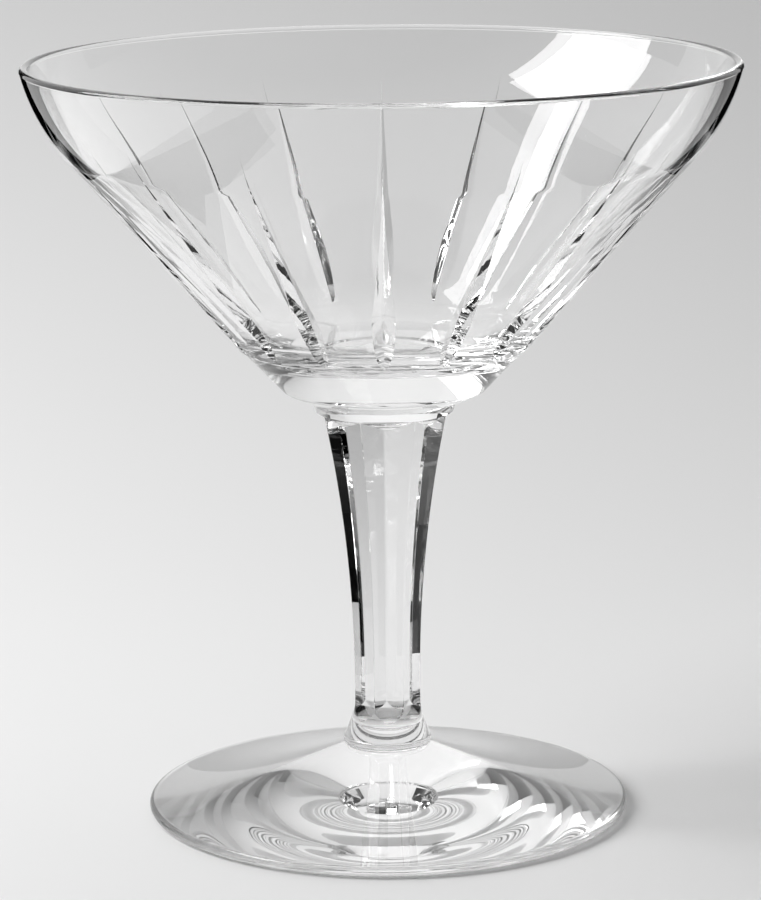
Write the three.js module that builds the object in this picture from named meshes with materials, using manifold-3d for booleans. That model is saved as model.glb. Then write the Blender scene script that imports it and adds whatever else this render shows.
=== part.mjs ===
// A sherbet glass of cut crystal: a wide conical bowl with sixteen tapering mitre cuts, a stem with
// seven flat panels, a wafer and a round foot, fused one on another. Millimetres, +Z up, the front
// faces -Y.
import * as THREE from "three";
import { mergeVertices } from "three/addons/utils/BufferGeometryUtils.js";
import Module from "manifold-3d";

const wasm = await Module();
wasm.setup();

// The four gathers, each standing on the one below
const FOOT_HEIGHT = 9.55;
const WAFER_THICKNESS = 1.4;
const STEM_LENGTH = 50.2;
const BOWL_HEIGHT = 52.2;

// Foot: a blown disc with a fire-polished edge, a concave rise and a ground resting ring
const FOOT_RADIUS = 36.35;
const FOOT_EDGE_THICKNESS = 1.5;
const FOOT_EDGE_SLOPE = 7;
const FOOT_REST_WIDTH = 4;
const FOOT_HOLLOW = 0.5;

// Wafer: the button of glass between the foot and the stem
const WAFER_BULGE = 0.3;

// Stem: panel sizes are taken from the axis square to a flat
const STEM_PANELS = 7;
const STEM_WAIST = 4.6;
const STEM_WAIST_BOTTOM = 5.2;
const STEM_WAIST_TOP = 8.6;
const STEM_TOP = 8.54;
const STEM_PANEL_SWEEP = 5.9;
const STEM_SWEEP_HEIGHT = 2.2;
const STEM_END_RADIUS = 6.4;
const STEM_END_HEIGHT = 3.4;
const STEM_END_EASE = 0.05;
const TRUMPET_HEIGHT = 2.8;
const TRUMPET_INSET = 0.1;

// Seam between the stem and the bowl, a full circle on both
const JOIN_RADIUS = 10.35;

// Bowl outside: a flared underside, a kink, a plain band, a cone and a lip that curls upright
const UNDERSIDE_RADIUS = 10.8;
const UNDERSIDE_HEIGHT = 1.3;
const KINK_RADIUS = 15.2;
const KINK_HEIGHT = 3.25;
const KINK_ROUND = 2;
const BAND_RADIUS = 21.1;
const RIM_RADIUS = 53;
const LIP_CURL = 5.05;
const SHOULDER_DROP = 13.5;

// Plain band under the cone, and the small step between the two
const CONE_FOOT = 9.5;
const CONE_LEDGE = 0.4;
const CONE_STEP = 0.33;

// Bowl inside: walls are measured level, and thicken from the lip to the floor
const RIM_WALL = 1.4;
const SHOULDER_WALL = 2.2;
const FLOOR_WALL = 3.6;
const FLOOR_HEIGHT = 10.2;
const FLOOR_ROUND = 14;

// Bowl cuts: heights from the seam, drop from the rim; each is widest near its lower end
const CUT_COUNT = 16;
const CUT_WIDTH = 3.25;
const CUT_DEPTH = 1.15;
const CUT_TAPER = 1.3;
const CUT_FOOT = 13.2;
const CUT_RUN_OUT = 2;
const CUT_TIP_DROP = 7.35;

// Facets
const ROUND_SEGMENTS = 64;
const SMALL_SEGMENTS = 48;
const LONG_ARC_STEPS = 10;
const SHORT_ARC_STEPS = 4;

// Angle between two cuts of the bowl
const CUT_PITCH = (2 * Math.PI) / CUT_COUNT;

// A length that is outside every solid, for the sides of cutting shapes
const OUTSIDE = RIM_RADIUS + BOWL_HEIGHT;

const point = (radius, height) => new THREE.Vector2(radius, height);

// Points of the arc that leaves start along a heading and ends at end, without its start.
function tangentArc(start, heading, end, steps) {
  const chord = end.clone().sub(start);
  const turn = chord.angle() - heading;
  const half = Math.atan2(Math.sin(turn), Math.cos(turn));
  const centre = point(0, 0);
  return Array.from({ length: steps }, (_, index) => {
    const part = (index + 1) / steps;
    const reach = half === 0 ? part : Math.sin(half * part) / Math.sin(half);
    const step = chord.clone().multiplyScalar(reach);
    return step.rotateAround(centre, half * (part - 1)).add(start);
  });
}

// Points of a fillet on the corner between two straight sides.
function fillet(before, corner, after, radius, steps) {
  const back = before.clone().sub(corner).normalize();
  const on = after.clone().sub(corner).normalize();
  const reach = radius / Math.tan(Math.acos(back.dot(on)) / 2);
  const start = corner.clone().addScaledVector(back, reach);
  const end = corner.clone().addScaledVector(on, reach);
  return [start, ...tangentArc(start, corner.clone().sub(start).angle(), end, steps)];
}

// A profile turned about Z: many segments for a round shape, a few for one with flat sides.
function turn(profile, segments, firstAngle = 0) {
  return new THREE.LatheGeometry(profile, segments, firstAngle).rotateX(Math.PI / 2);
}

// The solid that a closed geometry bounds.
function solidOf(geometry) {
  geometry.deleteAttribute("normal");
  geometry.deleteAttribute("uv");
  const { index, attributes } = mergeVertices(geometry);
  return new wasm.Manifold(
    new wasm.Mesh({
      numProp: 3,
      vertProperties: attributes.position.array,
      triVerts: new Uint32Array(index.array),
    }),
  );
}

const revolve = (...shape) => solidOf(turn(...shape));

// A profile of flats as the profile of its corners.
function corners(profile, panels) {
  return profile.map(({ x, y }) => point(x / Math.cos(Math.PI / panels), y));
}

function makeFoot(seatRadius) {
  const edge = FOOT_EDGE_THICKNESS / 2;
  const restOuter = FOOT_RADIUS - edge;
  const restInner = point(restOuter - FOOT_REST_WIDTH, 0);
  const hollow = point(0, FOOT_HOLLOW);
  const edgeBottom = point(restOuter, 0);
  const edgeTop = point(restOuter, FOOT_EDGE_THICKNESS);
  const rise = Math.PI - THREE.MathUtils.degToRad(FOOT_EDGE_SLOPE);
  const seat = point(seatRadius, FOOT_HEIGHT);
  return revolve(
    [
      hollow,
      ...tangentArc(hollow, 0, restInner, SHORT_ARC_STEPS),
      edgeBottom,
      ...tangentArc(edgeBottom, 0, edgeTop, 2 * SHORT_ARC_STEPS),
      ...tangentArc(edgeTop, rise, seat, LONG_ARC_STEPS),
      point(0, FOOT_HEIGHT),
    ],
    ROUND_SEGMENTS,
  );
}

function makeWafer(seatRadius) {
  const bottom = point(seatRadius, 0);
  const top = point(seatRadius, WAFER_THICKNESS);
  const middle = point(seatRadius + WAFER_BULGE, WAFER_THICKNESS / 2);
  const upper = tangentArc(middle, Math.PI / 2, top, SHORT_ARC_STEPS);
  const lower = upper.map(({ x, y }) => point(x, WAFER_THICKNESS - y)).reverse();
  return revolve(
    [point(0, 0), bottom, ...lower.slice(1), middle, ...upper, point(0, WAFER_THICKNESS)],
    SMALL_SEGMENTS,
  );
}

// Half width across the stem's flats above its waist, where they spread along one long arc.
function stemFlat(height) {
  const spread = STEM_TOP - STEM_WAIST;
  const run = STEM_LENGTH - STEM_WAIST_TOP;
  const radius = (run ** 2 + spread ** 2) / (2 * spread);
  return STEM_WAIST + radius - Math.sqrt(radius ** 2 - (height - STEM_WAIST_TOP) ** 2);
}

function makeStem() {
  const waistBottom = point(STEM_WAIST, STEM_WAIST_BOTTOM);
  const sweepEnd = point(STEM_PANEL_SWEEP, STEM_SWEEP_HEIGHT);
  const sweep = tangentArc(waistBottom, -Math.PI / 2, sweepEnd, LONG_ARC_STEPS).reverse();
  const spread = Array.from({ length: LONG_ARC_STEPS + 1 }, (_, index) => {
    const height = THREE.MathUtils.lerp(STEM_WAIST_TOP, STEM_LENGTH, index / LONG_ARC_STEPS);
    return point(stemFlat(height), height);
  });
  const clearOfEnd = point(2 * STEM_END_RADIUS, 0);
  const flats = corners([clearOfEnd, ...sweep, waistBottom, ...spread], STEM_PANELS);

  // One ridge of the stem stands under the cut of the bowl to the left of the front.
  const panelled = revolve(
    [point(0, 0), ...flats, point(0, STEM_LENGTH)],
    STEM_PANELS,
    -CUT_PITCH,
  );

  // The round end that was there before the panels were cut, so that they run out in scallops.
  const waistCorner = STEM_WAIST / Math.cos(Math.PI / STEM_PANELS) + STEM_END_EASE;
  const roundEnd = revolve(
    [
      point(0, 0),
      point(STEM_END_RADIUS, 0),
      point(waistCorner, STEM_END_HEIGHT),
      point(waistCorner, STEM_WAIST_BOTTOM),
      point(OUTSIDE, STEM_LENGTH),
      point(0, STEM_LENGTH),
    ],
    SMALL_SEGMENTS,
  );

  // The round trumpet under the bowl, which ends each panel in a U.
  const trumpetFoot = STEM_LENGTH - TRUMPET_HEIGHT;
  const trumpetStart = point(stemFlat(trumpetFoot) - TRUMPET_INSET, trumpetFoot);
  const seam = point(JOIN_RADIUS, STEM_LENGTH);
  const trumpet = revolve(
    [
      point(0, trumpetFoot),
      trumpetStart,
      ...tangentArc(trumpetStart, Math.PI / 2, seam, SHORT_ARC_STEPS),
      point(0, STEM_LENGTH),
    ],
    SMALL_SEGMENTS,
  );
  return panelled.intersect(roundEnd).add(trumpet);
}

// The straight side of the bowl's cone: its lean, and its radius at a height.
const CONE_RADIUS = BAND_RADIUS + CONE_STEP;
const CONE_LEAN = (RIM_RADIUS + LIP_CURL - CONE_RADIUS) / (BOWL_HEIGHT - CONE_FOOT);
const cone = (height, inset = 0) => {
  return point(CONE_RADIUS + CONE_LEAN * (height - CONE_FOOT) - inset, height);
};

// Outside of the bowl, from the seam up to the lip.
function bowlOutside(lip) {
  const underside = point(UNDERSIDE_RADIUS, UNDERSIDE_HEIGHT);
  const kink = point(KINK_RADIUS, KINK_HEIGHT);
  const band = point(BAND_RADIUS, CONE_FOOT);
  const coneFoot = cone(CONE_FOOT + CONE_LEDGE);
  const shoulder = cone(BOWL_HEIGHT - SHOULDER_DROP);
  return [
    point(JOIN_RADIUS, 0),
    underside,
    ...fillet(underside, kink, band, KINK_ROUND, SHORT_ARC_STEPS),
    band,
    coneFoot,
    shoulder,
    ...tangentArc(shoulder, shoulder.clone().sub(coneFoot).angle(), lip, LONG_ARC_STEPS),
  ];
}

// Inside of the bowl, from the lip down to the floor.
function bowlInside(lip) {
  const shoulder = cone(BOWL_HEIGHT - SHOULDER_DROP, SHOULDER_WALL);
  const corner = cone(FLOOR_HEIGHT, FLOOR_WALL);
  const centre = point(0, FLOOR_HEIGHT);
  const heading = shoulder.clone().sub(corner).angle();
  const curl = tangentArc(shoulder, heading, lip, LONG_ARC_STEPS).reverse();
  return [
    ...curl.slice(1),
    shoulder,
    ...fillet(shoulder, corner, centre, FLOOR_ROUND, LONG_ARC_STEPS),
    centre,
  ];
}

// The stretch of a profile between two heights, both ends with it.
function stretch(profile, low, high) {
  const onProfile = (height) => {
    const above = profile.findIndex(({ y }) => y >= height);
    const before = profile[above - 1];
    const part = (height - before.y) / (profile[above].y - before.y);
    return before.clone().lerp(profile[above], part);
  };
  return [onProfile(low), ...profile.filter(({ y }) => y > low && y < high), onProfile(high)];
}

// One mitre cut at the front: a four-sided spindle, bent along the outside of the wall, that
// widens slowly from its upper tip and runs out soon below its widest place.
function makeCut(outside) {
  const low = CUT_FOOT - CUT_RUN_OUT;
  const high = BOWL_HEIGHT - CUT_TIP_DROP;
  const wall = new THREE.Path(stretch(outside, low, high));
  const widest = CUT_RUN_OUT / (high - low);
  const taper = Array.from({ length: LONG_ARC_STEPS + 1 }, (_, index) => {
    const part = index / LONG_ARC_STEPS;
    return point((1 - part) ** CUT_TAPER, THREE.MathUtils.lerp(widest, 1, part));
  });
  const spindle = turn([point(0, 0), ...taper], 4);
  const corner = spindle.attributes.position;
  for (let index = 0; index < corner.count; index += 1) {
    const along = corner.getZ(index);
    const place = wall.getPointAt(along);
    const { x, y } = wall.getTangentAt(along);
    const out = -corner.getY(index) * CUT_DEPTH;
    const aside = (corner.getX(index) * CUT_WIDTH) / 2;
    corner.setXYZ(index, aside, -(place.x + out * y), place.y - out * x);
  }
  return spindle;
}

function makeBowl() {
  const lipHeight = BOWL_HEIGHT - RIM_WALL / 2;
  const lip = point(RIM_RADIUS, lipHeight);
  const innerLip = point(RIM_RADIUS - RIM_WALL, lipHeight);
  const roundLip = tangentArc(lip, Math.PI / 2, innerLip, 2 * SHORT_ARC_STEPS);
  const outside = bowlOutside(lip);
  const blank = revolve(
    [point(0, 0), ...outside, ...roundLip, ...bowlInside(innerLip)],
    ROUND_SEGMENTS,
  );
  const cut = makeCut(outside);
  const cuts = Array.from({ length: CUT_COUNT }, (_, index) => {
    return solidOf(cut.clone().rotateZ(index * CUT_PITCH));
  });
  return cuts.reduce((bowl, spindle) => bowl.subtract(spindle), blank);
}

// A solid as a named mesh that stands at a height.
function gather(name, solid, height) {
  const { vertProperties, triVerts } = solid.getMesh();
  const geometry = new THREE.BufferGeometry()
    .setAttribute("position", new THREE.BufferAttribute(vertProperties, 3))
    .setIndex(new THREE.BufferAttribute(triVerts, 1));
  geometry.computeVertexNormals();
  const crystal = new THREE.MeshStandardMaterial({
    color: 0xe9edee,
    roughness: 0.03,
    metalness: 0,
    transparent: true,
    opacity: 0.35,
  });
  const mesh = new THREE.Mesh(geometry, crystal);
  mesh.name = name;
  mesh.position.z = height;
  return mesh;
}

const waferHeight = FOOT_HEIGHT;
const stemHeight = waferHeight + WAFER_THICKNESS;
const bowlHeight = stemHeight + STEM_LENGTH;

const glass = new THREE.Group();
glass.add(
  gather("foot", makeFoot(STEM_END_RADIUS), 0),
  gather("wafer", makeWafer(STEM_END_RADIUS), waferHeight),
  gather("stem", makeStem(), stemHeight),
  gather("bowl", makeBowl(), bowlHeight),
);

export default glass;
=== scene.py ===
"""A sherbet glass of clear cut crystal, dressed for its studio picture.

The frame gives each piece's place: the bowl, stem, wafer and foot stand one on another on +Z. Every piece
is turned on the axis as a blank; the bowl then gets its tapering mitre cuts and the stem its flat panels.
Sizes are in millimetres.
"""

import logging
import math
from dataclasses import dataclass, field
from enum import Enum
from typing import List, Optional, Sequence, Tuple

import bmesh
import bpy
from mathutils import Matrix, Vector

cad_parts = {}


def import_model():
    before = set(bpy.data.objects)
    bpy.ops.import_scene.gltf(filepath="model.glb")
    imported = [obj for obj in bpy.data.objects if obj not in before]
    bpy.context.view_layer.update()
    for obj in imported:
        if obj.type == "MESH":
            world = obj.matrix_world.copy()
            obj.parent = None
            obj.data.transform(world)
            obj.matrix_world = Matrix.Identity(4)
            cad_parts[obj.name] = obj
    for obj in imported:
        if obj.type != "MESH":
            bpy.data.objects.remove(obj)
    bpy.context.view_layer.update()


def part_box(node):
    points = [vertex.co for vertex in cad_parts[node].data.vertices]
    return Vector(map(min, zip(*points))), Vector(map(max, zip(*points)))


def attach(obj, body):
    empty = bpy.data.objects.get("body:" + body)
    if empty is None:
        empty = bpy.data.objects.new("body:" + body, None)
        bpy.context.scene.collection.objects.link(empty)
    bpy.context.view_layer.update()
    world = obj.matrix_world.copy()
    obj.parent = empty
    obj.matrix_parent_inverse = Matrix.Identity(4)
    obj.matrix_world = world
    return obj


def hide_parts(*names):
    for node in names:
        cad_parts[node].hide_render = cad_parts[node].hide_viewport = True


LOG = logging.getLogger("sherbet_glass")
MM = 0.001
BODY = "root"
ORIGIN = (0.0, 0.0, 0.0)
AXIS = (0.0, 0.0, 1.0)
WHITE = (1.0, 1.0, 1.0, 1.0)
QUARTER_TURN = math.pi / 2
UP = QUARTER_TURN
MERGE_DISTANCE = 1e-7
SHARP_ANGLE = math.radians(7)
LEVEL_NORMAL = 0.999
SEAM_TOLERANCE = MM / 100
ARRIS_SEGMENTS = 3
MITRE_SIDES = 4


class Cut(Enum):
    """How one turned solid works on another."""

    KEEP_COMMON = "INTERSECT"
    JOIN = "UNION"
    TAKE_AWAY = "DIFFERENCE"


class Texture(Enum):
    """The surface that a stretch of glass was left with."""

    FIRE_POLISHED = "fire_polished"
    WHEEL_CUT = "wheel_cut"


# Outlines


def at(radius: float, height: float) -> Vector:
    """A point of an outline, by radius and height."""
    return Vector((radius, height))


def heading(start: Vector, end: Vector) -> float:
    """The direction from one outline point to another, in radians from outwards."""
    return math.atan2(end.y - start.y, end.x - start.x)


def turned(step: Vector, angle: float) -> Vector:
    """A step of an outline, turned by an angle."""
    return Matrix.Rotation(angle, 2) @ step


def tangent_arc(start: Vector, direction: float, end: Vector, steps: int) -> List[Vector]:
    """Makes the arc that leaves a point along a direction and ends at another.

    Args:
        start: where the arc begins.
        direction: the heading that it leaves with, in radians.
        end: where it ends.
        steps: how many straight steps stand for it.

    Returns:
        The points after the start, the end among them.
    """
    chord = end - start
    turn = heading(start, end) - direction
    half = math.atan2(math.sin(turn), math.cos(turn))
    points = []
    for index in range(1, steps + 1):
        part = index / steps
        reach = math.sin(half * part) / math.sin(half) if half else part
        points.append(start + turned(chord * reach, half * (part - 1)))
    return points


def fillet(before: Vector, corner: Vector, after: Vector, radius: float, steps: int) -> List[Vector]:
    """Rounds the corner between two straight sides.

    Args:
        before: a point on the side that comes in.
        corner: the sharp corner.
        after: a point on the side that goes out.
        radius: the rounding's radius.
        steps: how many straight steps stand for it.

    Returns:
        The rounding's points, its two ends among them.
    """
    back = (before - corner).normalized()
    ahead = (after - corner).normalized()
    reach = radius / math.tan(back.angle(ahead) / 2)
    start = corner + back * reach
    return [start, *tangent_arc(start, heading(start, corner), corner + ahead * reach, steps)]


def stretch(outline: Sequence[Vector], low: float, high: float) -> List[Vector]:
    """Takes the stretch of an outline between two heights.

    Args:
        outline: the points, from low to high.
        low: where the stretch begins.
        high: where it ends.

    Returns:
        Its points, both ends among them.
    """

    def crossing(height: float) -> Vector:
        """Finds where the outline first rises past a height.

        Args:
            height: the height.

        Returns:
            The outline's point there.
        """
        above = next(index for index, point in enumerate(outline) if point.y >= height)
        before, after = outline[above - 1], outline[above]
        return before.lerp(after, (height - before.y) / (after.y - before.y))

    return [crossing(low), *(point for point in outline if low < point.y < high), crossing(high)]


def follow(run: Sequence[Vector], part: float) -> Tuple[Vector, Vector]:
    """Follows a run of outline points for a part of its length.

    Args:
        run: the points, from low to high.
        part: how far to go, from 0 to 1.

    Returns:
        The place there, and the direction that leads straight out of the wall.
    """
    legs = [after - before for before, after in zip(run, run[1:])]
    rest = part * sum(leg.length for leg in legs)
    leg = legs[0]
    place = run[0]
    for place, leg in zip(run, legs):
        if rest <= leg.length:
            break
        rest -= leg.length
    along = leg.normalized()
    return place + along * min(rest, leg.length), Vector((along.y, -along.x))


# Finishes


@dataclass(frozen=True)
class Crystal:
    """Clear lead crystal, with the faint unevenness that its making leaves in the surface.

    The ripple's fineness is per metre on each axis, its depth in millimetres.
    """

    ior: float = 1.545
    roughness: float = 0.0
    ripple: Tuple[float, float, float] = (60.0, 60.0, 60.0)
    ripple_depth: float = 0.02
    ripple_detail: float = 1.0

    def material(self, name: str) -> bpy.types.Material:
        """Makes the glass.

        Args:
            name: the material's name.

        Returns:
            A glass material whose surface ripples with the piece's own coordinates.
        """
        material = bpy.data.materials.new(name)
        material.use_nodes = True
        tree = material.node_tree
        shader = tree.nodes["Principled BSDF"]
        shader.inputs["Base Color"].default_value = WHITE
        shader.inputs["Roughness"].default_value = self.roughness
        shader.inputs["IOR"].default_value = self.ior
        shader.inputs["Transmission Weight"].default_value = 1.0
        place = tree.nodes.new("ShaderNodeTexCoord")
        mapping = tree.nodes.new("ShaderNodeMapping")
        mapping.inputs["Scale"].default_value = self.ripple
        noise = tree.nodes.new("ShaderNodeTexNoise")
        noise.inputs["Scale"].default_value = 1.0
        noise.inputs["Detail"].default_value = self.ripple_detail
        bump = tree.nodes.new("ShaderNodeBump")
        bump.inputs["Strength"].default_value = 1.0
        bump.inputs["Distance"].default_value = self.ripple_depth * MM
        tree.links.new(place.outputs["Object"], mapping.inputs["Vector"])
        tree.links.new(mapping.outputs["Vector"], noise.inputs["Vector"])
        tree.links.new(noise.outputs["Fac"], bump.inputs["Height"])
        tree.links.new(bump.outputs["Normal"], shader.inputs["Normal"])
        return material


@dataclass(frozen=True)
class FusedSeam:
    """The face where two gathers melted into one, which light passes as if it weren't there."""

    def material(self, name: str) -> bpy.types.Material:
        """Makes the clear seam.

        Args:
            name: the material's name.

        Returns:
            A material that light goes straight through.
        """
        material = bpy.data.materials.new(name)
        material.use_nodes = True
        tree = material.node_tree
        tree.nodes.remove(tree.nodes["Principled BSDF"])
        clear = tree.nodes.new("ShaderNodeBsdfTransparent")
        tree.links.new(clear.outputs["BSDF"], tree.nodes["Material Output"].inputs["Surface"])
        return material


@dataclass(frozen=True)
class Paper:
    """The matt paper of the studio's floor and backdrop."""

    colour: Tuple[float, float, float] = (0.8, 0.8, 0.8)

    def material(self, name: str) -> bpy.types.Material:
        """Makes the paper.

        Args:
            name: the material's name.

        Returns:
            A matt material of the paper's colour.
        """
        material = bpy.data.materials.new(name)
        material.use_nodes = True
        shader = material.node_tree.nodes["Principled BSDF"]
        shader.inputs["Base Color"].default_value = (*self.colour, 1.0)
        shader.inputs["Roughness"].default_value = 1.0
        shader.inputs["Specular IOR Level"].default_value = 0.0
        return material


@dataclass
class Palette:
    """The materials that the pieces share."""

    blown: bpy.types.Material
    cut: bpy.types.Material
    seam: bpy.types.Material

    @classmethod
    def mixed(cls) -> "Palette":
        """Makes the glass of both surfaces and the seam's.

        Returns:
            The palette.
        """
        blown = Crystal().material(Texture.FIRE_POLISHED.value)
        wheel = Crystal(ripple=(120.0, 120.0, 420.0), ripple_depth=0.012, ripple_detail=2.0)
        return cls(blown, wheel.material(Texture.WHEEL_CUT.value), FusedSeam().material("fused_seam"))


# Turning and cutting


def turn_solid(
    outline: Sequence[Vector], steps: int, first_angle: float = 0.0, arris: float = 0.0
) -> bmesh.types.BMesh:
    """Turns an outline about the axis.

    Args:
        outline: its points, from the axis at the bottom round to the axis again.
        steps: how many steps the turn takes: many for a round solid, a few for one with flat panels.
        first_angle: where the outline stands before it turns, from the front.
        arris: the rounding of the ridges between flat panels, or 0 to leave them be.

    Returns:
        The closed solid, facing outwards.
    """
    solid = bmesh.new()
    points = [solid.verts.new((0.0, -point.x * MM, point.y * MM)) for point in outline]
    lines = [solid.edges.new(pair) for pair in zip(points, points[1:])]
    bmesh.ops.rotate(solid, verts=points, cent=ORIGIN, matrix=Matrix.Rotation(first_angle, 3, "Z"))
    bmesh.ops.spin(
        solid, geom=[*points, *lines], cent=ORIGIN, axis=AXIS, angle=math.tau, steps=steps, use_merge=True
    )
    bmesh.ops.remove_doubles(solid, verts=solid.verts, dist=MERGE_DISTANCE)
    bmesh.ops.recalc_face_normals(solid, faces=solid.faces)
    if arris:
        ridges = [
            edge
            for edge in solid.edges
            if abs(edge.verts[0].co.z - edge.verts[1].co.z) > MERGE_DISTANCE
        ]
        bmesh.ops.bevel(
            solid,
            geom=ridges,
            offset=arris * MM,
            affect="EDGES",
            segments=ARRIS_SEGMENTS,
            profile=0.5,
            material=-1,
            clamp_overlap=True,
        )
    return solid


def as_object(name: str, solid: bmesh.types.BMesh, material: bpy.types.Material) -> bpy.types.Object:
    """Puts a solid into the scene as an object at the origin.

    Args:
        name: the object's name.
        solid: the solid, which is freed.
        material: what it is made of.

    Returns:
        The object.
    """
    mesh = bpy.data.meshes.new(name)
    solid.to_mesh(mesh)
    solid.free()
    mesh.materials.append(material)
    made = bpy.data.objects.new(name, mesh)
    bpy.context.scene.collection.objects.link(made)
    return made


def work(target: bpy.types.Object, tool: bpy.types.Object, cut: Cut) -> None:
    """Cuts or joins one object with another, which is used up.

    Args:
        target: the object that is worked on, which keeps the tool's material where the tool cut it.
        tool: the other object.
        cut: what happens to the two.
    """
    step = target.modifiers.new(cut.name, "BOOLEAN")
    step.operation = cut.value
    step.solver = "EXACT"
    step.material_mode = "TRANSFER"
    step.object = tool
    worked = target.evaluated_get(bpy.context.evaluated_depsgraph_get())
    mesh = bpy.data.meshes.new_from_object(worked)
    target.modifiers.clear()
    target.data = mesh
    mesh.name = target.name
    bpy.data.objects.remove(tool)


@dataclass
class Facets:
    """How finely the round stretches are drawn."""

    round_steps: int = 512
    long_arc: int = 24
    short_arc: int = 12
    lip_arc: int = 28
    cut_steps: int = 24
    rise_arc: int = 96


@dataclass
class Gather:
    """One gather of glass: what all the pieces share."""

    palette: Palette
    facets: Facets
    node: str = ""
    bottom: float = field(init=False, default=0.0)
    top: float = field(init=False, default=0.0)
    reach: float = field(init=False, default=0.0)

    def __post_init__(self) -> None:
        """Takes the piece's heights and its largest radius from the frame."""
        low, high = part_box(self.node)
        self.bottom = low.z / MM
        self.top = high.z / MM
        self.reach = high.x / MM

    def shape(self) -> bpy.types.Object:
        """Makes the piece's mesh; each kind of piece has its own."""
        raise NotImplementedError

    def seams(self) -> Tuple[float, ...]:
        """The heights of the faces that are fused to a neighbour."""
        raise NotImplementedError

    def dress(self, made: bpy.types.Object) -> None:
        """Smooths the surface, keeps the cut edges crisp and clears the seams.

        Args:
            made: the shaped piece.
        """
        mesh = made.data
        mesh.materials.append(self.palette.seam)
        seam_slot = len(mesh.materials) - 1
        for face in mesh.polygons:
            face.use_smooth = True
            level = abs(face.normal.z) > LEVEL_NORMAL
            if level and any(abs(face.center.z - height * MM) < SEAM_TOLERANCE for height in self.seams()):
                face.material_index = seam_slot
        mesh.set_sharp_from_angle(angle=SHARP_ANGLE)

    def build(self) -> bpy.types.Object:
        """Makes the finished piece and sets it in the frame.

        Returns:
            The piece.
        """
        made = self.shape()
        self.dress(made)
        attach(made, BODY)
        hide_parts(self.node)
        LOG.info("%s: %d faces", made.name, len(made.data.polygons))
        return made


@dataclass
class Foot(Gather):
    """The round foot: a polished edge, a concave rise to the wafer and a ground ring to stand on."""

    node: str = "foot"
    edge_thickness: float = 1.5
    edge_slope: float = 7.0
    rest_width: float = 4.0
    hollow: float = 0.5
    seat: float = 6.4

    def seams(self) -> Tuple[float, ...]:
        """The top is fused to the wafer."""
        return (self.top,)

    def shape(self) -> bpy.types.Object:
        """Turns the foot.

        Returns:
            The foot, undressed.
        """
        rest_outer = self.reach - self.edge_thickness / 2
        crown = at(0, self.hollow)
        rest_inner = at(rest_outer - self.rest_width, 0)
        edge_low = at(rest_outer, 0)
        edge_high = at(rest_outer, self.edge_thickness)
        rise = math.pi - math.radians(self.edge_slope)
        outline = [
            crown,
            *tangent_arc(crown, 0, rest_inner, self.facets.short_arc),
            edge_low,
            *tangent_arc(edge_low, 0, edge_high, self.facets.lip_arc),
            *tangent_arc(edge_high, rise, at(self.seat, self.top), self.facets.rise_arc),
            at(0, self.top),
        ]
        return as_object("foot_disc", turn_solid(outline, self.facets.round_steps), self.palette.blown)


@dataclass
class Wafer(Gather):
    """The button of glass between the foot and the stem."""

    node: str = "wafer"
    seat: float = 6.4

    def seams(self) -> Tuple[float, ...]:
        """Both faces are fused."""
        return (self.bottom, self.top)

    def shape(self) -> bpy.types.Object:
        """Turns the wafer, with its rounded edge.

        Returns:
            The wafer, undressed.
        """
        middle = at(self.reach, (self.bottom + self.top) / 2)
        low = at(self.seat, self.bottom)
        high = at(self.seat, self.top)
        upper = tangent_arc(middle, UP, high, self.facets.short_arc)
        lower = tangent_arc(middle, -UP, low, self.facets.short_arc)[::-1]
        outline = [at(0, self.bottom), *lower, middle, *upper, at(0, self.top)]
        return as_object("wafer_button", turn_solid(outline, self.facets.round_steps), self.palette.blown)


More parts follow.
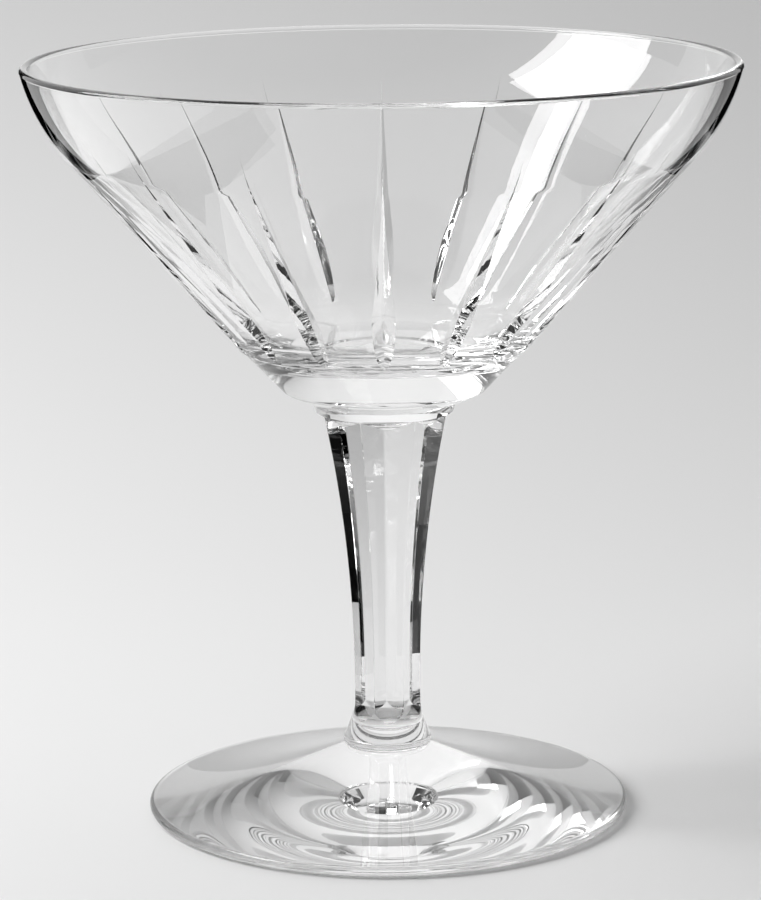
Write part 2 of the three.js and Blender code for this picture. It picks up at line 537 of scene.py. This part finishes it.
@dataclass
class Stem(Gather):
    """The panel-cut stem.

    Panel sizes are taken from the axis square to a flat, and heights from the stem's lower end. The two
    clear sizes reach past all that is cut.
    """

    node: str = "stem"
    panels: int = 7
    first_ridge: float = -22.5
    arris: float = 0.12
    waist: float = 4.6
    waist_bottom: float = 5.2
    waist_top: float = 8.6
    panel_top: float = 8.54
    sweep: float = 5.9
    sweep_height: float = 2.2
    end_radius: float = 6.4
    end_height: float = 3.4
    end_ease: float = 0.05
    trumpet_height: float = 2.8
    trumpet_inset: float = 0.1
    panels_clear: float = 12.8
    end_clear: float = 60.0

    def seams(self) -> Tuple[float, ...]:
        """Both ends are fused."""
        return (self.bottom, self.top)

    def flat_at(self, height: float) -> float:
        """Finds the half width across the flats above the waist, where they spread along one long arc.

        Args:
            height: height above the frame's origin.

        Returns:
            The distance from the axis to a flat.
        """
        spread = self.panel_top - self.waist
        start = self.bottom + self.waist_top
        run = self.top - start
        radius = (run**2 + spread**2) / (2 * spread)
        return self.waist + radius - math.sqrt(radius**2 - (height - start) ** 2)

    def panelled(self) -> bmesh.types.BMesh:
        """Makes the stem with its flats, swept out at the lower end.

        Returns:
            The panelled solid.
        """
        low = at(self.waist, self.bottom + self.waist_bottom)
        run_out = at(self.sweep, self.bottom + self.sweep_height)
        sweep = tangent_arc(low, -UP, run_out, self.facets.long_arc)[::-1]
        clear_of_end = at(self.panels_clear, self.bottom)
        start = self.bottom + self.waist_top
        steps = self.facets.long_arc
        heights = [start + (self.top - start) * index / steps for index in range(steps + 1)]
        flats = [clear_of_end, *sweep, low, *(at(self.flat_at(height), height) for height in heights)]
        corner = 1 / math.cos(math.pi / self.panels)
        outline = [at(0, self.bottom), *(at(point.x * corner, point.y) for point in flats), at(0, self.top)]
        return turn_solid(outline, self.panels, math.radians(self.first_ridge), self.arris)

    def round_end(self) -> bmesh.types.BMesh:
        """Makes the round end that the panels run out on in scallops.

        Returns:
            The round solid, wide above the end.
        """
        waist_corner = self.waist / math.cos(math.pi / self.panels) + self.end_ease
        outline = [
            at(0, self.bottom),
            at(self.end_radius, self.bottom),
            at(waist_corner, self.bottom + self.end_height),
            at(waist_corner, self.bottom + self.waist_bottom),
            at(self.end_clear, self.top),
            at(0, self.top),
        ]
        return turn_solid(outline, self.facets.round_steps)

    def trumpet(self) -> bmesh.types.BMesh:
        """Makes the round spread under the bowl, which ends each panel in a U.

        Returns:
            The trumpet.
        """
        low = self.top - self.trumpet_height
        start = at(self.flat_at(low) - self.trumpet_inset, low)
        flare = tangent_arc(start, UP, at(self.reach, self.top), self.facets.long_arc)
        return turn_solid([at(0, low), start, *flare, at(0, self.top)], self.facets.round_steps)

    def shape(self) -> bpy.types.Object:
        """Cuts the panels and joins the trumpet.

        Returns:
            The stem, undressed.
        """
        made = as_object("panelled_stem", self.panelled(), self.palette.cut)
        work(made, as_object("stem_end", self.round_end(), self.palette.blown), Cut.KEEP_COMMON)
        work(made, as_object("stem_trumpet", self.trumpet(), self.palette.blown), Cut.JOIN)
        return made


@dataclass
class Bowl(Gather):
    """The wide bowl with sixteen mitre cuts. Heights are from its seam with the stem, drops from its rim."""

    node: str = "bowl"
    join: float = 10.35
    underside: Vector = field(default_factory=lambda: at(10.8, 1.3))
    kink: Vector = field(default_factory=lambda: at(15.2, 3.25))
    kink_round: float = 2.0
    band_radius: float = 21.1
    cone_foot: float = 9.5
    cone_ledge: float = 0.4
    cone_step: float = 0.33
    lip_curl: float = 5.05
    shoulder_drop: float = 13.5
    rim_wall: float = 1.4
    shoulder_wall: float = 2.2
    floor_wall: float = 3.6
    floor_height: float = 10.2
    floor_round: float = 14.0
    cut_count: int = 16
    cut_width: float = 3.6
    cut_depth: float = 1.04
    cut_taper: float = 1.8
    cut_foot: float = 18.5
    cut_run_out: float = 8.2
    cut_tip_drop: float = 7.35

    def seams(self) -> Tuple[float, ...]:
        """The bottom is fused to the stem."""
        return (self.bottom,)

    @property
    def height(self) -> float:
        """From the seam to the rim."""
        return self.top - self.bottom

    def cone(self, height: float, inset: float = 0.0) -> Vector:
        """Finds a point on the straight side of the cone.

        Args:
            height: its height above the seam.
            inset: how far inside the cone the point lies.

        Returns:
            The point.
        """
        foot = self.band_radius + self.cone_step
        lean = (self.reach + self.lip_curl - foot) / (self.height - self.cone_foot)
        return at(foot + lean * (height - self.cone_foot) - inset, height)

    def outside(self) -> List[Vector]:
        """Draws the outside.

        Returns:
            Its points, from the seam up to the lip.
        """
        band = at(self.band_radius, self.cone_foot)
        cone_foot = self.cone(self.cone_foot + self.cone_ledge)
        shoulder = self.cone(self.height - self.shoulder_drop)
        lip = at(self.reach, self.height - self.rim_wall / 2)
        return [
            at(self.join, 0),
            self.underside,
            *fillet(self.underside, self.kink, band, self.kink_round, self.facets.short_arc),
            band,
            cone_foot,
            shoulder,
            *tangent_arc(shoulder, heading(cone_foot, shoulder), lip, self.facets.long_arc),
        ]

    def inside(self) -> List[Vector]:
        """Draws the inside.

        Returns:
            Its points, from the lip down to the floor's centre.
        """
        lip = at(self.reach - self.rim_wall, self.height - self.rim_wall / 2)
        shoulder = self.cone(self.height - self.shoulder_drop, self.shoulder_wall)
        corner = self.cone(self.floor_height, self.floor_wall)
        centre = at(0, self.floor_height)
        curl = tangent_arc(shoulder, heading(corner, shoulder), lip, self.facets.long_arc)[::-1]
        return [
            *curl,
            shoulder,
            *fillet(shoulder, corner, centre, self.floor_round, self.facets.long_arc),
            centre,
        ]

    def blank(self) -> bmesh.types.BMesh:
        """Turns the bowl as blown, before it is cut.

        Returns:
            The blank.
        """
        outside = self.outside()
        inside = self.inside()
        lip = tangent_arc(outside[-1], UP, inside[0], self.facets.lip_arc)[:-1]
        outline = [at(0, 0), *outside, *lip, *inside]
        raised = [at(point.x, point.y + self.bottom) for point in outline]
        return turn_solid(raised, self.facets.round_steps)

    def spindle(self) -> bmesh.types.BMesh:
        """Makes what the wheel takes out at the front: bent along the wall, blunt below and fine above.

        Returns:
            The four-sided spindle.
        """
        low = self.cut_foot - self.cut_run_out
        high = self.height - self.cut_tip_drop
        run = stretch(self.outside(), low, high)
        widest = self.cut_run_out / (high - low)
        steps = self.facets.cut_steps
        parts = [index / steps for index in range(1, steps + 1)]
        turns = [part * QUARTER_TURN for part in parts]
        blunt = [at(math.sin(turn), widest * (1 - math.cos(turn))) for turn in turns]
        fine = [at((1 - part) ** self.cut_taper, widest + (1 - widest) * part) for part in parts]
        outline = [at(0, 0), *blunt, *fine]
        solid = turn_solid(outline, MITRE_SIDES)
        for corner in solid.verts:
            aside, back, along = corner.co / MM
            place, out = follow(run, along)
            place = place - out * back * self.cut_depth
            corner.co = Vector((aside * self.cut_width / 2, -place.x, place.y + self.bottom)) * MM
        return solid

    def cuts(self) -> bmesh.types.BMesh:
        """Repeats the cut evenly round the bowl.

        Returns:
            All the cuts.
        """
        solid = self.spindle()
        bmesh.ops.triangulate(solid, faces=solid.faces)
        pitch = math.tau / self.cut_count
        bmesh.ops.spin(
            solid,
            geom=[*solid.verts, *solid.edges, *solid.faces],
            cent=ORIGIN,
            axis=AXIS,
            angle=math.tau - pitch,
            steps=self.cut_count - 1,
            use_duplicate=True,
        )
        return solid

    def shape(self) -> bpy.types.Object:
        """Blows the bowl and cuts it.

        Returns:
            The bowl, undressed.
        """
        made = as_object("cut_bowl", self.blank(), self.palette.blown)
        work(made, as_object("bowl_cuts", self.cuts(), self.palette.cut), Cut.TAKE_AWAY)
        return made


# Studio


@dataclass(frozen=True)
class Softbox:
    """A diffuser with a lamp behind it. Sizes are in metres."""

    name: str
    place: Tuple[float, float, float]
    aim: Tuple[float, float, float]
    width: float
    height: float
    watts: float

    def light(self) -> bpy.types.Object:
        """Hangs the lamp and points it.

        Returns:
            The lamp.
        """
        lamp = bpy.data.lights.new(self.name, "AREA")
        lamp.shape = "RECTANGLE"
        lamp.size = self.width
        lamp.size_y = self.height
        lamp.energy = self.watts
        hung = bpy.data.objects.new(self.name, lamp)
        hung.location = self.place
        towards = Vector(self.aim) - Vector(self.place)
        hung.rotation_euler = towards.to_track_quat("-Z", "Y").to_euler()
        bpy.context.scene.collection.objects.link(hung)
        return hung


@dataclass(frozen=True)
class Flag:
    """A black card upright beside the glass, which darkens the glass's edges and stays out of the picture.

    Sizes are in metres.
    """

    name: str
    aside: float
    near: float
    far: float
    bottom: float
    top: float
    black: float = 0.002

    def stand(self) -> bpy.types.Object:
        """Sets the card up along the line of sight.

        Returns:
            The card.
        """
        card = bmesh.new()
        for depth, height in (
            (self.near, self.bottom),
            (self.far, self.bottom),
            (self.far, self.top),
            (self.near, self.top),
        ):
            card.verts.new((self.aside, depth, height))
        card.faces.new(card.verts)
        made = as_object(self.name, card, Paper((self.black,) * 3).material(self.name))
        made.visible_camera = False
        made.visible_diffuse = False
        made.visible_shadow = False
        return made


@dataclass
class Studio:
    """The paper, the lamp, the flags, the room and the camera. Sizes are in metres, angles in degrees."""

    paper: Paper = field(default_factory=Paper)
    near_half_width: float = 0.9
    far_half_width: float = 1.4
    front: float = -0.9
    floor: float = -0.0003
    bend_start: float = 0.1
    bend_radius: float = 1.2
    bend_angle: float = 23.0
    bend_steps: int = 16
    bright_side: Tuple[float, float, float] = (-0.35, 0.9, 0.25)
    dark_from: float = -0.4
    dark_level: float = 0.005
    bright_from: float = 0.9
    bright_level: float = 0.95
    key: Softbox = Softbox("key", (-0.6, 0.0, 0.5), (0.0, 0.0, 0.06), 0.5, 0.5, 5.9)
    flags: Tuple[Flag, ...] = (
        Flag("left_low_flag", -0.075, -0.11, 0.03, 0.0, 0.06),
        Flag("left_high_flag", -0.075, 0.04, 0.1, 0.06, 0.14),
        Flag("right_low_flag", 0.075, -0.14, 0.02, 0.025, 0.06),
        Flag("right_high_flag", 0.075, 0.04, 0.09, 0.06, 0.14),
    )
    camera_distance: float = 0.5487
    camera_height: float = 0.17365
    camera_pitch: float = 12.21
    camera_roll: float = -0.558
    camera_yaw: float = 0.07
    focal_pixels: float = 3746.8
    image_height: int = 900
    sensor: float = 36.0
    glass_walls: int = 32
    reflections: int = 16

    def sweep(self) -> bpy.types.Object:
        """Lays the paper on the table and curls it up behind the glass.

        Returns:
            The paper.
        """
        curl = math.radians(self.bend_angle)
        bend_foot = Vector((self.bend_start, self.floor))
        bend_end = bend_foot + Vector((math.sin(curl), 1 - math.cos(curl))) * self.bend_radius
        bend = tangent_arc(bend_foot, 0.0, bend_end, self.bend_steps)
        run = [Vector((self.front, self.floor)), bend_foot, *bend]
        paper = bmesh.new()
        sides = []
        for side in (-1, 1):
            points = []
            for point in run:
                part = (point.x - self.front) / (bend_end.x - self.front)
                half = self.near_half_width + (self.far_half_width - self.near_half_width) * part
                points.append(paper.verts.new((side * half, point.x, point.y)))
            sides.extend(paper.edges.new(pair) for pair in zip(points, points[1:]))
        bmesh.ops.bridge_loops(paper, edges=sides)
        bmesh.ops.recalc_face_normals(paper, faces=paper.faces)
        made = as_object("paper_sweep", paper, self.paper.material("paper"))
        for face in made.data.polygons:
            face.use_smooth = True
        return made

    def world(self) -> None:
        """Makes the room: a bright wall behind the glass, which fades to the dark side of the camera."""
        room = bpy.data.worlds.new("room")
        room.use_nodes = True
        tree = room.node_tree
        look = tree.nodes.new("ShaderNodeTexCoord")
        facing = tree.nodes.new("ShaderNodeVectorMath")
        facing.operation = "DOT_PRODUCT"
        facing.inputs[1].default_value = Vector(self.bright_side).normalized()
        fade = tree.nodes.new("ShaderNodeMapRange")
        fade.inputs["From Min"].default_value = self.dark_from
        fade.inputs["From Max"].default_value = self.bright_from
        fade.inputs["To Min"].default_value = self.dark_level
        fade.inputs["To Max"].default_value = self.bright_level
        glow = tree.nodes["Background"]
        glow.inputs["Color"].default_value = WHITE
        tree.links.new(look.outputs["Generated"], facing.inputs[0])
        tree.links.new(facing.outputs["Value"], fade.inputs["Value"])
        tree.links.new(fade.outputs["Result"], glow.inputs["Strength"])
        bpy.context.scene.world = room

    def camera(self) -> bpy.types.Object:
        """Sets the camera where the photograph was taken from.

        Returns:
            The camera.
        """
        lens = bpy.data.cameras.new("camera")
        lens.sensor_fit = "AUTO"
        lens.sensor_width = self.sensor
        lens.lens = self.focal_pixels / self.image_height * self.sensor
        stand = bpy.data.objects.new("camera", lens)
        tilt = Matrix.Rotation(QUARTER_TURN - math.radians(self.camera_pitch), 4, "X")
        roll = Matrix.Rotation(math.radians(self.camera_roll), 4, "Z")
        yaw = Matrix.Rotation(math.radians(self.camera_yaw), 4, "Z")
        place = Matrix.Translation((0.0, -self.camera_distance, self.camera_height))
        stand.matrix_world = place @ yaw @ tilt @ roll
        bpy.context.scene.collection.objects.link(stand)
        bpy.context.scene.camera = stand
        return stand

    def light_paths(self) -> None:
        """Lets light pass as many glass walls as the bowl has on a line of sight."""
        scene = bpy.context.scene
        scene.view_settings.view_transform = "Standard"
        scene.cycles.max_bounces = self.glass_walls
        scene.cycles.transmission_bounces = self.glass_walls
        scene.cycles.glossy_bounces = self.reflections
        scene.cycles.transparent_max_bounces = self.glass_walls
        scene.cycles.use_denoising = True

    def build(self) -> None:
        """Sets the studio up."""
        self.sweep()
        self.world()
        self.key.light()
        for flag in self.flags:
            flag.stand()
        self.camera()
        self.light_paths()


def main() -> None:
    """Builds the glass in its frame, and the studio round it."""
    logging.basicConfig(level=logging.INFO, format="%(name)s %(message)s")
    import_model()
    palette = Palette.mixed()
    facets = Facets()
    for kind in (Foot, Wafer, Stem, Bowl):
        kind(palette, facets).build()
    Studio().build()


if __name__ == "__main__":
    main()
